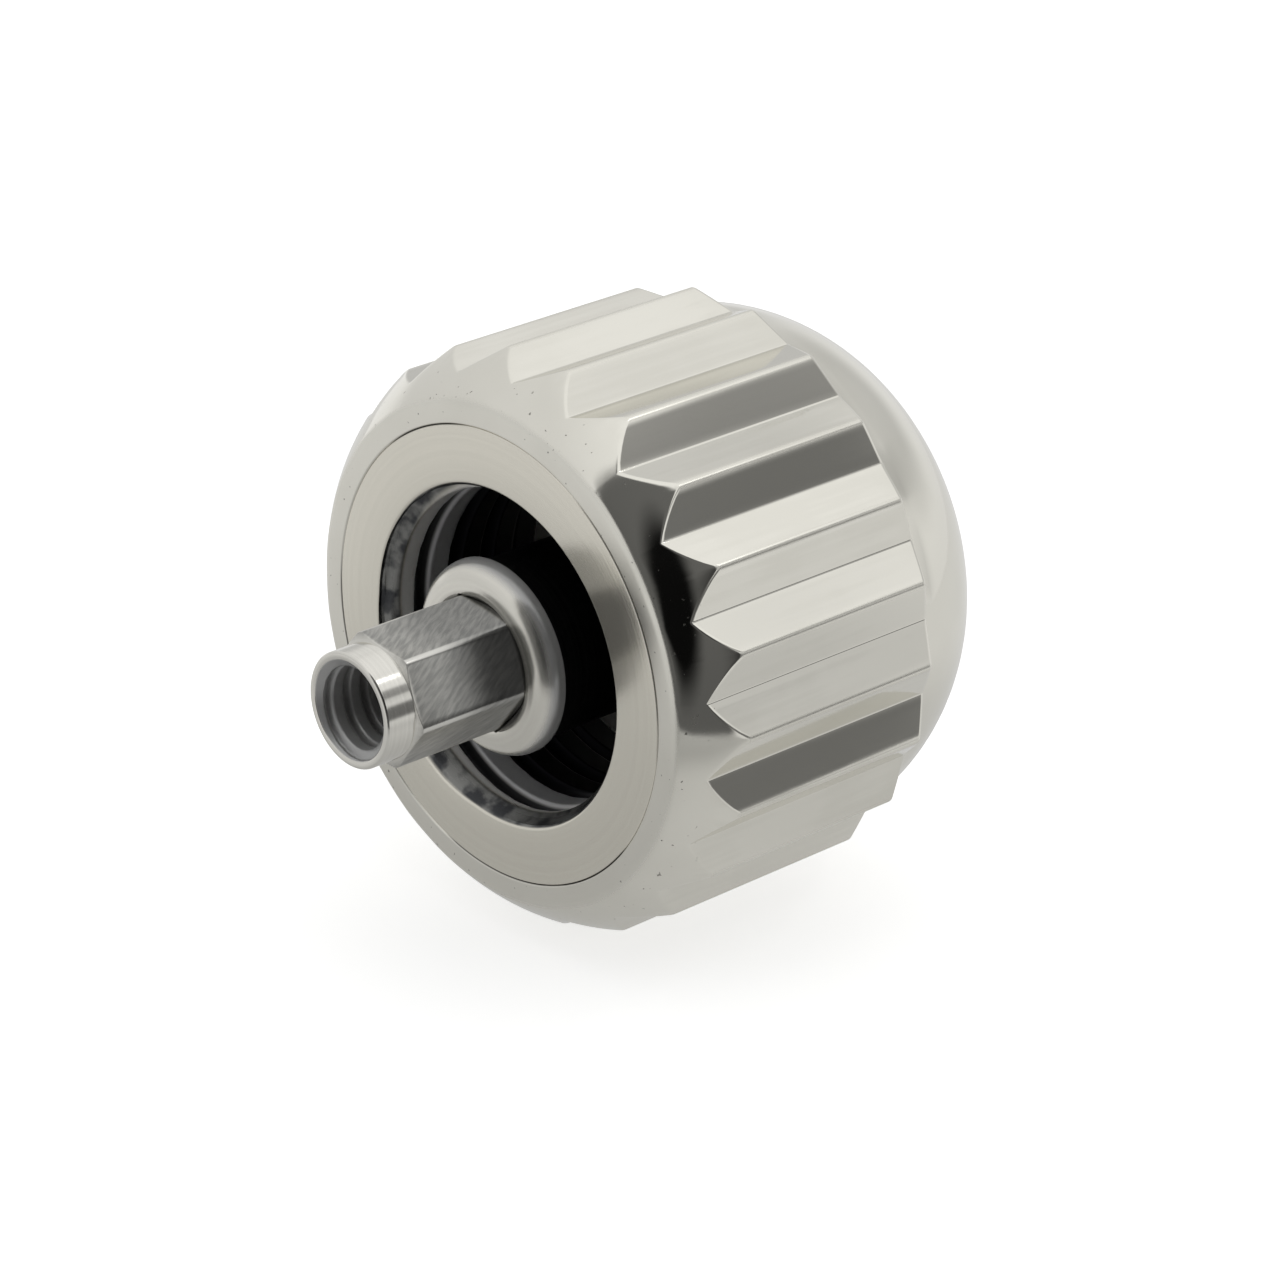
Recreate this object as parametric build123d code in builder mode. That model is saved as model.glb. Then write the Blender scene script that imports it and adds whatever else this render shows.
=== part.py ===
from build123d import *
from math import atan2, cos, pi, radians, sin, tan
import os

# A screw-down watch crown: a fluted cap with a pressed-in threaded core, and a sprung hexagonal
# post that turns the winding stem. All sizes are in millimetres.
# X runs along the axis, from the post towards the dome, and the front ring face lies at X = 0.
# The crown lies on two flute crests, so the middle of a groove faces straight down.

# The sizes across the axis build outwards from the post: each piece is one wall or one gap
# larger than the piece inside it.

# Hexagonal post with its turned nose and its head
hex_sides = 6
hex_across_flats = 1.4
hex_turn = 7.5
hex_end_chamfer = 0.078
nose_tip = 2.137
nose_length = 0.387
nose_step = 0.013
nose_edge_break = 0.02
head_length = 0.3
head_clearance = 0.03
head_gap = 0.02
tail_radius = 0.42
tail_length = 0.7

# Stem thread in the nose
stem_thread_radius = 0.49
stem_thread_depth = 0.1
stem_thread_pitch = 0.25
stem_thread_length = 1.6
nose_rim = 0.087
drill_point_angle = 118.0

# Retaining collar, and the guide tube that it is pressed into
hex_clearance = 0.02
collar_plug_wall = 0.09
collar_plug_length = 0.6
collar_front = 0.25
collar_thickness = 0.3
collar_rim_radius = 0.24
collar_lead_in = 0.1
collar_lead_in_depth = 0.12
tube_wall = 0.16
collar_overhang = 0.09
flange_thickness = 0.98

# Threaded core. The case tube screws into the gap round the collar.
case_tube_gap = 0.75
case_thread_depth = 0.17
case_thread_pitch = 0.5
case_thread_length = 2.3
case_thread_land = 0.15
mouth_chamfer = 0.122
mouth_depth = 0.22
thread_relief = 0.18
core_wall = 0.626
seam_break = 0.03

# Gasket and its washer, in the plain bore behind the thread
washer_thickness = 0.12
washer_gap = 0.22
gasket_thickness = 0.5
gasket_edge_radius = 0.1
ring_clearance = 0.02

# Fluted shell round the core
shell_wall = 0.531
flute_count = 22
flute_depth = 0.242
crest_edge_radius = 0.04
lip_width = 0.273
bevel_depth = 0.69
bevel_bulge = 0.05
crest_length = 3.52
runout_length = 0.18
runout_drop = 0.27

# The dome is three arcs, each tangent to the next, and these are their radii. An arc's angle is
# that of its normal, from square to the axis towards the dome.
shoulder_radius = 2.2
dome_edge_radius = 0.6
shoulder_start_angle = 6.0
shoulder_end_angle = 48.0
dome_start_angle = 77.0

# Return spring between the head and the floor of the shell
spring_wire_radius = 0.08
spring_clearance = 0.12
spring_turns = 7
spring_end_gap = 0.01

# How far the post goes in when the crown is screwed down
post_travel = 1.1

# The cutter of a thread groove stands half the groove's depth clear of the bore's wall. These are
# its width there and at the groove's floor, as shares of the pitch.
groove_mouth_share = 0.62
groove_floor_share = 0.14

# A groove starts this share of its pitch in front of the bore, which also sets how its turns lie
case_groove_start_share = 0.642
stem_groove_start_share = 0.69

# Cuts run past the faces that they open by this much
overrun = 0.1


def arc_end(start, radius, angle_from, angle_to):
    """The end of an arc in the (X, radius) plane whose normal turns between two angles."""
    first = radians(angle_from)
    last = radians(angle_to)
    along = radius * (sin(last) - sin(first))
    across = radius * (cos(last) - cos(first))
    return (start[0] + along, start[1] + across)


def dome_arc(start, radius, angle_from, angle_to, end):
    """One arc of the dome, drawn into the open line."""
    halfway = arc_end(start, radius, angle_from, (angle_from + angle_to) / 2)
    return ThreePointArc(start, halfway, end)


def thread_groove(radius, depth, pitch, start, length):
    """Cut a right-hand thread groove into the wall of a bore along X, in the open part."""
    with BuildLine() as path:
        Helix(pitch, length, radius, center=(start, 0, 0), direction=(1, 0, 0))
    helix = path.line
    across = Plane(origin=helix @ 0, x_dir=(1, 0, 0), z_dir=helix % 0)
    mouth = pitch * groove_mouth_share / 2
    floor = pitch * groove_floor_share / 2
    with BuildSketch(across) as groove:
        with BuildLine():
            Polyline(
                (-mouth, -depth / 2),
                (-floor, depth),
                (floor, depth),
                (mouth, -depth / 2),
                close=True,
            )
        make_face()
    sweep(groove.sketch, path=helix, is_frenet=True, mode=Mode.SUBTRACT)


# Radii, from the post outwards
nose_radius = hex_across_flats / 2 - nose_step
stem_countersink_radius = nose_radius - nose_rim
hex_hole_radius = hex_across_flats / 2 + hex_clearance
collar_lead_in_radius = hex_hole_radius + collar_lead_in
tube_bore_radius = hex_hole_radius / cos(pi / hex_sides) + collar_plug_wall
tube_radius = tube_bore_radius + tube_wall
collar_radius = tube_radius + collar_overhang
washer_bore_radius = tube_radius + washer_gap
case_thread_radius = collar_radius + case_tube_gap
mouth_radius = case_thread_radius + mouth_chamfer
chamber_radius = case_thread_radius + thread_relief
core_radius = chamber_radius + core_wall
lip_radius = core_radius + lip_width
root_radius = core_radius + shell_wall
crest_radius = root_radius + flute_depth

# Places along the axis, from the thread back to the floor of the shell
washer_start = case_thread_length
gasket_start = washer_start + washer_thickness
flange_start = gasket_start + gasket_thickness
core_length = flange_start + flange_thickness

# The shell's outline behind the flutes
shoulder_start = (crest_length + runout_length, crest_radius - runout_drop)
shoulder_end = arc_end(shoulder_start, shoulder_radius, shoulder_start_angle, shoulder_end_angle)
dome_start = arc_end(shoulder_end, dome_edge_radius, shoulder_end_angle, dome_start_angle)
dome_radius = dome_start[1] / cos(radians(dome_start_angle))
dome_top = (dome_start[0] + dome_radius * (1 - sin(radians(dome_start_angle))), 0)

# The fluted section. The crest corners start a little outside the crest radius, so that their
# rounding brings them back to it.
flute_angle = 2 * pi / flute_count
crest_half_corner = atan2(
    root_radius * sin(flute_angle / 2), crest_radius - root_radius * cos(flute_angle / 2)
)
crest_gain = crest_edge_radius / sin(crest_half_corner) - crest_edge_radius


def flute_point(index):
    """A corner of the fluted section: roots are even, crests are odd, and root 0 faces down."""
    reach = crest_radius + crest_gain if index % 2 else root_radius
    angle = index * flute_angle / 2
    return (reach * sin(angle), -reach * cos(angle))


# Crown shell: fluted bar, turned to the outline and bored for the core
with BuildPart() as crown_shell:
    with BuildSketch(Plane.YZ) as fluted_section:
        with BuildLine():
            Polyline([flute_point(i) for i in range(2 * flute_count)], close=True)
        make_face()
        crests = fluted_section.vertices().filter_by(lambda v: Vector(v).length > crest_radius)
        fillet(crests, radius=crest_edge_radius)
    extrude(amount=dome_top[0] + overrun)
    with BuildSketch(Plane.XZ):
        with BuildLine():
            bevel = SagittaArc((0, lip_radius), (bevel_depth, crest_radius), bevel_bulge)
            past_bevel = Line(bevel @ 1, bevel @ 1 + (bevel % 1) * overrun)
            crest_end = Vector(crest_length, crest_radius)
            runout = Vector(*shoulder_start) - crest_end
            past_crest = crest_end - runout.normalized() * overrun
            Line(past_bevel @ 1, past_crest)
            Line(past_crest, shoulder_start)
            dome_arc(
                shoulder_start, shoulder_radius, shoulder_start_angle, shoulder_end_angle, shoulder_end
            )
            dome_arc(shoulder_end, dome_edge_radius, shoulder_end_angle, dome_start_angle, dome_start)
            dome_arc(dome_start, dome_radius, dome_start_angle, 90, dome_top)
            Polyline(dome_top, (0, 0), (0, lip_radius))
        make_face()
    revolve(axis=Axis.X, mode=Mode.INTERSECT)
    with BuildSketch(Plane.XZ):
        with BuildLine():
            Polyline(
                (-overrun, 0),
                (-overrun, core_radius + seam_break),
                (0, core_radius + seam_break),
                (seam_break, core_radius),
                (core_length, core_radius),
                (core_length, 0),
                close=True,
            )
        make_face()
    revolve(axis=Axis.X, mode=Mode.SUBTRACT)
crown_shell.part.label = "crown_shell"

# Threaded core: the sleeve that shows as the front ring, with the thread for the case tube. The
# groove starts in front of the mouth and stops short of the step behind the thread.
groove_start = -case_thread_pitch * case_groove_start_share
groove_half_width = case_thread_pitch * groove_mouth_share / 2
groove_length = case_thread_length - case_thread_land - groove_half_width - groove_start

with BuildPart() as threaded_core:
    with BuildSketch(Plane.XZ):
        with BuildLine():
            Polyline(
                (0, mouth_radius),
                (0, core_radius - seam_break),
                (seam_break, core_radius),
                (core_length, core_radius),
                (core_length, chamber_radius),
                (case_thread_length, chamber_radius),
                (case_thread_length, case_thread_radius),
                (mouth_depth, case_thread_radius),
                close=True,
            )
        make_face()
    revolve(axis=Axis.X)
    thread_groove(
        case_thread_radius, case_thread_depth, case_thread_pitch, groove_start, groove_length
    )
threaded_core.part.label = "threaded_core"

# Guide tube: its base flange is trapped between the gasket and the floor of the shell
tube_mouth = collar_thickness - collar_front

with BuildPart() as guide_tube:
    with BuildSketch(Plane.XZ):
        with BuildLine():
            Polyline(
                (tube_mouth, tube_bore_radius),
                (tube_mouth, tube_radius),
                (flange_start, tube_radius),
                (flange_start, chamber_radius - ring_clearance),
                (core_length, chamber_radius - ring_clearance),
                (core_length, tube_bore_radius),
                close=True,
            )
        make_face()
    revolve(axis=Axis.X)
guide_tube.part.label = "guide_tube"

# Retaining collar: a headed bush with a hexagonal hole, pressed into the guide tube
collar_end = tube_mouth + collar_plug_length
lead_in_end = collar_lead_in_depth - collar_front

with BuildPart() as retaining_collar:
    with BuildSketch(Plane.XZ) as collar_profile:
        with BuildLine():
            Polyline(
                (-collar_front, 0),
                (-collar_front, collar_radius),
                (tube_mouth, collar_radius),
                (tube_mouth, tube_bore_radius),
                (collar_end, tube_bore_radius),
                (collar_end, 0),
                close=True,
            )
        make_face()
        rim = collar_profile.vertices().group_by(Axis.Y)[-1].sort_by(Axis.X)[0]
        fillet(rim, radius=collar_rim_radius)
    revolve(axis=Axis.X)
    with BuildSketch(Plane.YZ.offset(-collar_front)):
        RegularPolygon(hex_hole_radius, hex_sides, major_radius=False, rotation=hex_turn)
    extrude(amount=collar_front + collar_end, mode=Mode.SUBTRACT)
    with BuildSketch(Plane.XZ):
        with BuildLine():
            Polyline(
                (-collar_front, 0),
                (-collar_front, collar_lead_in_radius),
                (lead_in_end, hex_hole_radius),
                (lead_in_end, 0),
                close=True,
            )
        make_face()
    revolve(axis=Axis.X, mode=Mode.SUBTRACT)
retaining_collar.part.label = "retaining_collar"

# Stem post: a hexagonal shank turned down to a nose in front and to a spring tail behind
nose_end = nose_length - nose_tip
head_start = collar_end + head_gap
head_end = head_start + head_length
tail_end = head_end + tail_length
head_radius = tube_bore_radius - head_clearance
cone_radius = hex_across_flats / 2 / cos(pi / hex_sides) + overrun
bore_end = stem_countersink_radius - stem_thread_radius + stem_thread_length - nose_tip
point_end = bore_end + stem_thread_radius / tan(radians(drill_point_angle / 2))

with BuildPart() as stem_post:
    with BuildSketch(Plane.YZ.offset(nose_end)):
        RegularPolygon(hex_across_flats / 2, hex_sides, major_radius=False, rotation=hex_turn)
    extrude(amount=head_start - nose_end)
    with BuildSketch(Plane.XZ):
        with BuildLine():
            Polyline(
                (nose_end, 0),
                (nose_end, nose_radius),
                (nose_end + hex_end_chamfer, cone_radius),
                (head_start, cone_radius),
                (head_start, 0),
                close=True,
            )
        make_face()
    revolve(axis=Axis.X, mode=Mode.INTERSECT)
    with BuildSketch(Plane.XZ):
        with BuildLine():
            Polyline(
                (-nose_tip, 0),
                (-nose_tip, nose_radius - nose_edge_break),
                (-nose_tip + nose_edge_break, nose_radius),
                (nose_end, nose_radius),
                (nose_end, 0),
                close=True,
            )
        make_face()
        with BuildLine():
            Polyline(
                (head_start, 0),
                (head_start, head_radius),
                (head_end, head_radius),
                (head_end, tail_radius),
                (tail_end, tail_radius),
                (tail_end, 0),
                close=True,
            )
        make_face()
    revolve(axis=Axis.X)
    with BuildSketch(Plane.XZ):
        with BuildLine():
            Polyline(
                (-nose_tip, 0),
                (-nose_tip, stem_countersink_radius),
                (bore_end - stem_thread_length, stem_thread_radius),
                (bore_end, stem_thread_radius),
                (point_end, 0),
                close=True,
            )
        make_face()
    revolve(axis=Axis.X, mode=Mode.SUBTRACT)
    thread_groove(
        stem_thread_radius,
        stem_thread_depth,
        stem_thread_pitch,
        bore_end - stem_thread_length - stem_thread_pitch * stem_groove_start_share,
        stem_thread_length,
    )
stem_post.part.label = "stem_post"

# Return spring: an open coil between the head of the post and the floor of the shell
spring_radius = tube_bore_radius - spring_clearance - spring_wire_radius
spring_start = head_end + spring_end_gap + spring_wire_radius
spring_end = core_length - spring_end_gap - spring_wire_radius
spring_pitch = (spring_end - spring_start) / spring_turns

with BuildPart() as return_spring:
    with BuildLine() as coil:
        Helix(
            spring_pitch,
            spring_end - spring_start,
            spring_radius,
            center=(spring_start, 0, 0),
            direction=(1, 0, 0),
        )
    with BuildSketch(Plane(origin=coil.line @ 0, z_dir=coil.line % 0)):
        Circle(spring_wire_radius)
    sweep(path=coil.line, is_frenet=True)
return_spring.part.label = "return_spring"
spring_solid_pitch = (spring_end - spring_start - post_travel) / spring_turns
print("least gap between spring turns", round(spring_solid_pitch - 2 * spring_wire_radius, 3))

# Gasket that the end of the case tube is screwed down on
with BuildPart() as main_gasket:
    with BuildSketch(Plane.XZ) as gasket_profile:
        with BuildLine():
            Polyline(
                (gasket_start, tube_radius + ring_clearance),
                (gasket_start, chamber_radius - ring_clearance),
                (flange_start, chamber_radius - ring_clearance),
                (flange_start, tube_radius + ring_clearance),
                close=True,
            )
        make_face()
        fillet(gasket_profile.vertices(), radius=gasket_edge_radius)
    revolve(axis=Axis.X)
main_gasket.part.label = "main_gasket"

# Washer that holds the gasket against the step behind the thread
with BuildPart() as gasket_washer:
    with BuildSketch(Plane.YZ.offset(washer_start)):
        Circle(chamber_radius - ring_clearance)
        Circle(washer_bore_radius, mode=Mode.SUBTRACT)
    extrude(amount=washer_thickness)
gasket_washer.part.label = "gasket_washer"

pieces = [
    crown_shell,
    threaded_core,
    guide_tube,
    retaining_collar,
    stem_post,
    return_spring,
    main_gasket,
    gasket_washer,
]

os.makedirs("parts", exist_ok=True)
for piece in pieces:
    export_step(piece.part, f"parts/{piece.part.label}.step")

print("across the crests", round(2 * crest_radius, 3))
print("height of the cap", round(dome_top[0], 3))
print("reach of the post, out and in", nose_tip, round(nose_tip - post_travel, 3))
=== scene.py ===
# %% [markdown]
# # A screw-down watch crown in polished steel
# The packed model is the fixed frame. It gives every piece its place and its size, and this
# script adds the finish. Four turned pieces are made again as finer meshes, because their small
# roundings are what catches the light, and so is the spring, because it has to shorten. The other
# three keep their solids and get a material. Everything is in metres, and the crown's axis is X.

# %% Load the packed model
from math import atan2, cos, hypot, pi, radians, sin, sqrt

import bmesh
import bpy
from mathutils import Matrix, Vector


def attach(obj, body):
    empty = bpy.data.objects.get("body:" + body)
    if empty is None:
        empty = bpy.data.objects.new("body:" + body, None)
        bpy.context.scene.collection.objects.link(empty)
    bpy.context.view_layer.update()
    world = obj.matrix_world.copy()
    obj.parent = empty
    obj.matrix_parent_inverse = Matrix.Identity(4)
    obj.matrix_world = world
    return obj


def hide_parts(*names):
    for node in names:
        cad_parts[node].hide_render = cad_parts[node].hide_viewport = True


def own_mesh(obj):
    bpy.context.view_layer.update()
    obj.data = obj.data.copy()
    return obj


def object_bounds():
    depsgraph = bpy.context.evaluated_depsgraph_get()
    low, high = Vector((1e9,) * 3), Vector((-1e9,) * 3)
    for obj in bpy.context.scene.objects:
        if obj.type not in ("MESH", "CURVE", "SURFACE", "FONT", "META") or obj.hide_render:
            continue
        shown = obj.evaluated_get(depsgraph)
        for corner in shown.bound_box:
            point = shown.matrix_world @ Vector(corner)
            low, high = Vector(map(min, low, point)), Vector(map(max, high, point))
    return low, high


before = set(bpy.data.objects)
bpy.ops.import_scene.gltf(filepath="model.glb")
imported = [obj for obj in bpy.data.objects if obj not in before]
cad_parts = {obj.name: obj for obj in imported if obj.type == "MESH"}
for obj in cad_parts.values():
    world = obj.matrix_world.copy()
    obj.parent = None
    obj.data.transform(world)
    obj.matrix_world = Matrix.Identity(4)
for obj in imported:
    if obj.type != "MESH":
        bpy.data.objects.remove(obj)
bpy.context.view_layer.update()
MM = 0.001
print("nodes", sorted(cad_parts))

# %% [markdown]
# ## Sizes
# These are the turned sizes of the crown, in millimetres. "Along" is measured on the axis from
# the plane of the front ring, and grows towards the dome. A radius is measured from the axis.
# They repeat the sizes of the solids, because a finer mesh still has to fill the same space.

# %% Sizes of the pieces
CORE_RADIUS = 2.727
SEAM_BREAK = 0.016
LIP_RADIUS = 3.0
ROOT_RADIUS = 3.258
CREST_RADIUS = 3.5
FLUTES = 22
CORE_END = 3.9

MOUTH_RADIUS = 2.043
MOUTH_DEPTH = 0.22
BORE_RADIUS = 1.921
CHAMBER_RADIUS = 2.101
THREAD_END = 2.3

COLLAR_FRONT = -0.25
COLLAR_RADIUS = 1.171
TUBE_MOUTH = 0.05
TUBE_BORE = 0.921
COLLAR_END = 0.65

POST_TIP = -2.137
NOSE_END = -1.75
NOSE_RADIUS = 0.687
HEXAGON_TURN = 37.5

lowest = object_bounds()[0].z
print("the crown stands on", round(lowest / MM, 3), "mm")

# %% [markdown]
# ## The camera
# The photograph looks at the crown from in front, from the post's side and from above. The
# place of the lens was worked out from the tips of the flutes, whose spacing is known. It is a
# long lens about 55 mm away, so the camera is set by its three axes and its distance, and it is
# tilted by half a degree.

# %% Place the camera
VIEW_AZIMUTH = radians(-42.858)
VIEW_ELEVATION = radians(24.777)
VIEW_ROLL = radians(0.513)
VIEW_DISTANCE = 55.099
VIEW_CENTRE = (1.654, 0.191)
LENS = 136.617


def direction(azimuth, elevation):
    """The unit vector that points from the crown to a place in the room. Both are in radians."""
    flat = cos(elevation)
    return Vector((sin(azimuth) * flat, -cos(azimuth) * flat, sin(elevation)))


towards = direction(VIEW_AZIMUTH, VIEW_ELEVATION)
level_right = Vector((cos(VIEW_AZIMUTH), sin(VIEW_AZIMUTH), 0))
level_up = towards.cross(level_right)
right = cos(VIEW_ROLL) * level_right + sin(VIEW_ROLL) * level_up
up = cos(VIEW_ROLL) * level_up - sin(VIEW_ROLL) * level_right
place = VIEW_CENTRE[0] * right + VIEW_CENTRE[1] * up + VIEW_DISTANCE * towards

lens = bpy.data.cameras.new("photo_camera")
lens.sensor_width = 36
lens.lens = LENS
lens.clip_start = 0.001
lens.clip_end = 1.0
camera = bpy.data.objects.new("photo_camera", lens)
bpy.context.scene.collection.objects.link(camera)
turn = Matrix((right, up, towards)).transposed().to_4x4()
camera.matrix_world = Matrix.Translation(place * MM) @ turn
bpy.context.scene.camera = camera
bpy.context.scene.view_settings.view_transform = "Standard"
print("camera at", [round(c / MM, 2) for c in camera.matrix_world.translation])

# %% [markdown]
# ## Shader maths as Python
# A finish is a small sum over the surface: this much scratch, less where the steel is dull. In
# Blender each step of the sum is a Math node. Wrapping a socket in a class with the usual
# operators lets the sum be written as a line of Python, and the nodes follow from it.

# %% A socket that can be added and multiplied
def find_socket(sockets, key):
    """A socket by its place, its identifier or its name."""
    if isinstance(key, int):
        return sockets[key]
    matches = [s for s in sockets if s.identifier == key] or [s for s in sockets if s.name == key]
    return matches[0]


class Signal:
    """An output socket. Sums of signals and numbers add Math nodes to the same tree."""

    def __init__(self, graph, socket):
        self.graph = graph
        self.socket = socket

    def sum(self, operation, *terms):
        return self.graph.add("ShaderNodeMath", {"operation": operation}, dict(enumerate(terms)))

    def __add__(self, other):
        return self.sum("ADD", self, other)

    def __sub__(self, other):
        return self.sum("SUBTRACT", self, other)

    def __mul__(self, other):
        return self.sum("MULTIPLY", self, other)

    def __truediv__(self, other):
        return self.sum("DIVIDE", self, other)

    def __pow__(self, other):
        return self.sum("POWER", self, other)

    def __radd__(self, other):
        return self.sum("ADD", other, self)

    def __rsub__(self, other):
        return self.sum("SUBTRACT", other, self)

    def __rmul__(self, other):
        return self.sum("MULTIPLY", other, self)

    def __rtruediv__(self, other):
        return self.sum("DIVIDE", other, self)


class Graph:
    """A node tree and the one way that this script adds nodes to it."""

    def __init__(self, tree):
        self.tree = tree
        self.tree.nodes.clear()

    def add(self, kind, settings=None, inputs=None, output=0):
        """Add a node: its settings first, then a value or a link for each socket it names."""
        node = self.tree.nodes.new(kind)
        for name, value in (settings or {}).items():
            setattr(node, name, value)
        for key, value in (inputs or {}).items():
            socket = find_socket(node.inputs, key)
            if isinstance(value, Signal):
                self.tree.links.new(value.socket, socket)
            else:
                socket.default_value = value
        return Signal(self, find_socket(node.outputs, output)) if node.outputs else node

    def blend(self, factor, first, second):
        """A colour between two colours."""
        inputs = {"Factor_Float": factor, "A_Color": first, "B_Color": second}
        return self.add("ShaderNodeMix", {"data_type": "RGBA"}, inputs, "Result_Color")

    def fade(self, value, start, end, first=0.0, last=1.0):
        """A soft step from first to last as the value goes from start to end."""
        inputs = {"Value": value, "From Min": start, "From Max": end}
        inputs.update({"To Min": first, "To Max": last})
        settings = {"data_type": "FLOAT", "interpolation_type": "SMOOTHSTEP"}
        return self.add("ShaderNodeMapRange", settings, inputs)

    def fade_out(self, value, start, end):
        """A soft step down, from 1 at start to 0 at end."""
        return self.fade(value, start, end, 1.0, 0.0)

    def dot(self, vector, fixed):
        """How far a place lies along a fixed direction."""
        inputs = {0: vector, 1: tuple(fixed)}
        return self.add("ShaderNodeVectorMath", {"operation": "DOT_PRODUCT"}, inputs, "Value")


print("operators", [name for name in vars(Signal) if name.startswith("__") and name != "__init__"])

# %% [markdown]
# ## The light
# Polished steel shows the room and nothing else, so the room is most of the look. Here it is a
# white tent: bright all round, with a large dark opening where the lens is, two long dark cards
# beside it, grey patches further round, one patch low behind that is brighter, and a window that
# gives the small white highlights. It could be built from real cards and lamps, but painting it
# on the world by direction is quicker and has no edges to hide. Rays from the lens see plain
# white in its place.
#
# A patch is given as its place (azimuth and elevation of its middle), its half width and half
# height, all in degrees, then the softness of its edge and how much of the light it takes away.

# %% The room, painted by direction
TABLE_EDGE = (-0.44, -0.37)
TENT_HEIGHTS = (-0.3, 0.8)
TENT_TONES = (0.78, 0.98)
DARK_OPENING = [
    ((-45, 15, 44, 52), 0.05, 0.86),
    ((-47, 19, 14, 29), 0.3, 0.97),
]
LONG_CARDS = [
    ((22, 0, 33, 11), 0.3, 0.79),
    ((20, 31, 42, 6.5), 0.35, 0.6),
]
LONG_CARD_SQUARENESS = 3
GREY_PATCHES = [
    ((45, 22, 16, 10), 0.6, 0.3),
    ((66, 46, 12, 8), 0.6, 0.13),
    ((95, 22, 28, 16), 0.5, 0.32),
    ((127, 38, 6, 6), 0.6, 0.25),
    ((141, 10, 10, 12), 0.6, 0.25),
    ((-150, 32, 60, 40), 0.5, 0.2),
]
BRIGHT_PATCH = (165, -6, 26, 9)
BRIGHT_PATCH_SOFTNESS = 0.5
BRIGHT_PATCH_GAIN = 0.25

world = bpy.data.worlds.new("white_tent")
world.use_nodes = True
bpy.context.scene.world = world
sky = Graph(world.node_tree)
gaze = sky.add("ShaderNodeTexCoord", output="Generated")


def card(azimuth, elevation, half_width, half_height, softness, squareness=1):
    """1 inside a patch of the room: an oval, or squarer as squareness grows."""
    az, el = radians(azimuth), radians(elevation)
    centre = direction(az, el)
    side = Vector((cos(az), sin(az), 0))
    above = centre.cross(side)
    across = sky.dot(gaze, side) / sin(radians(half_width))
    along = sky.dot(gaze, above) / sin(radians(half_height))
    squares = (across * across) ** squareness + (along * along) ** squareness
    spread = squares ** (0.5 / squareness)
    ahead = sky.fade(sky.dot(gaze, centre), 0.0, 0.2)
    return ahead * sky.fade_out(spread, 1 - softness, 1 + softness)


def darkened(tone, patches, where=1, squareness=1):
    """The tone of the room with patches of it made darker."""
    for place_and_size, softness, depth in patches:
        tone = tone * (1 - depth * where * card(*place_and_size, softness, squareness))
    return tone


height = sky.dot(gaze, (0, 0, 1))
above_table = sky.fade(height, *TABLE_EDGE)
tent = sky.fade(height, *TENT_HEIGHTS, *TENT_TONES)
tent = darkened(tent, DARK_OPENING, where=above_table)
tent = darkened(tent, LONG_CARDS, squareness=LONG_CARD_SQUARENESS)
tent = darkened(tent, GREY_PATCHES)
tent = tent * (1 + BRIGHT_PATCH_GAIN * card(*BRIGHT_PATCH, BRIGHT_PATCH_SOFTNESS))

rays = sky.add("ShaderNodeLightPath", output="Is Camera Ray")
room = sky.add("ShaderNodeBackground", inputs={"Color": tent, "Strength": 1.0})
plain = sky.add("ShaderNodeBackground", inputs={"Color": (1, 1, 1, 1), "Strength": 1.0})
mixed = sky.add("ShaderNodeMixShader", inputs={0: rays, 1: room, 2: plain})
sky.add("ShaderNodeOutputWorld", inputs={"Surface": mixed})
print("dark and grey patches in the tent", len(DARK_OPENING + LONG_CARDS + GREY_PATCHES))

# %% The window that makes the white highlights
WINDOW_DISTANCE = 40 * MM
WINDOW_SIZE = 3.4 * MM
WINDOW_RADIANCE = 13.0
WINDOW_AZIMUTH = radians(52)
WINDOW_ELEVATION = radians(49)

glow = bpy.data.lights.new("window", "AREA")
glow.shape = "DISK"
glow.size = WINDOW_SIZE
glow.energy = WINDOW_RADIANCE * pi * pi * (WINDOW_SIZE / 2) ** 2
window = bpy.data.objects.new("window", glow)
bpy.context.scene.collection.objects.link(window)
window.location = direction(WINDOW_AZIMUTH, WINDOW_ELEVATION) * WINDOW_DISTANCE
window.rotation_euler = window.location.to_track_quat("Z", "Y").to_euler()
window.visible_camera = False
print("window power", round(glow.energy * 1000, 3), "mW")

# %% [markdown]
# ## Turning a piece
# Nearly every surface here came off a lathe, so a piece is made as a lathe makes it: a line of
# (along, radius) points is spun round the axis. The flutes and the hexagon aren't round, so
# each angle has its own line, all with the same number of points. A sharp corner never catches
# the light, and real ones are broken with a file or in a tumbler. So each corner that shows is
# replaced by a short curve. The mesh's own Z is the axis, and the object is turned to lay it
# along X, which also makes the highlights of brushed steel run round the axis.

# %% Lines with broken corners
CORNER_STEPS = 4


def between(first, second, share):
    """The point part of the way from one point to another."""
    return tuple(a + (b - a) * share for a, b in zip(first, second))


def break_corner(before, corner, after, reach):
    """A short curve in place of a corner. It starts and ends a reach away from it."""
    points = []
    arms = []
    for far in (before, after):
        length = max(hypot(far[0] - corner[0], far[1] - corner[1]), 1e-9)
        arms.append(between(corner, far, min(reach / length, 0.5)))
    for step in range(CORNER_STEPS + 1):
        share = step / CORNER_STEPS
        first = between(arms[0], corner, share)
        last = between(corner, arms[1], share)
        points.append(between(first, last, share))
    return points


def broken_line(corners):
    """An open line through (along, radius, reach) corners, each broken by its reach if not 0."""
    points = [corners[0][:2]]
    for before, corner, after in zip(corners, corners[1:], corners[2:]):
        if corner[2]:
            points += break_corner(before[:2], corner[:2], after[:2], corner[2])
        else:
            points.append(corner[:2])
    points.append(corners[-1][:2])
    return points


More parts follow.
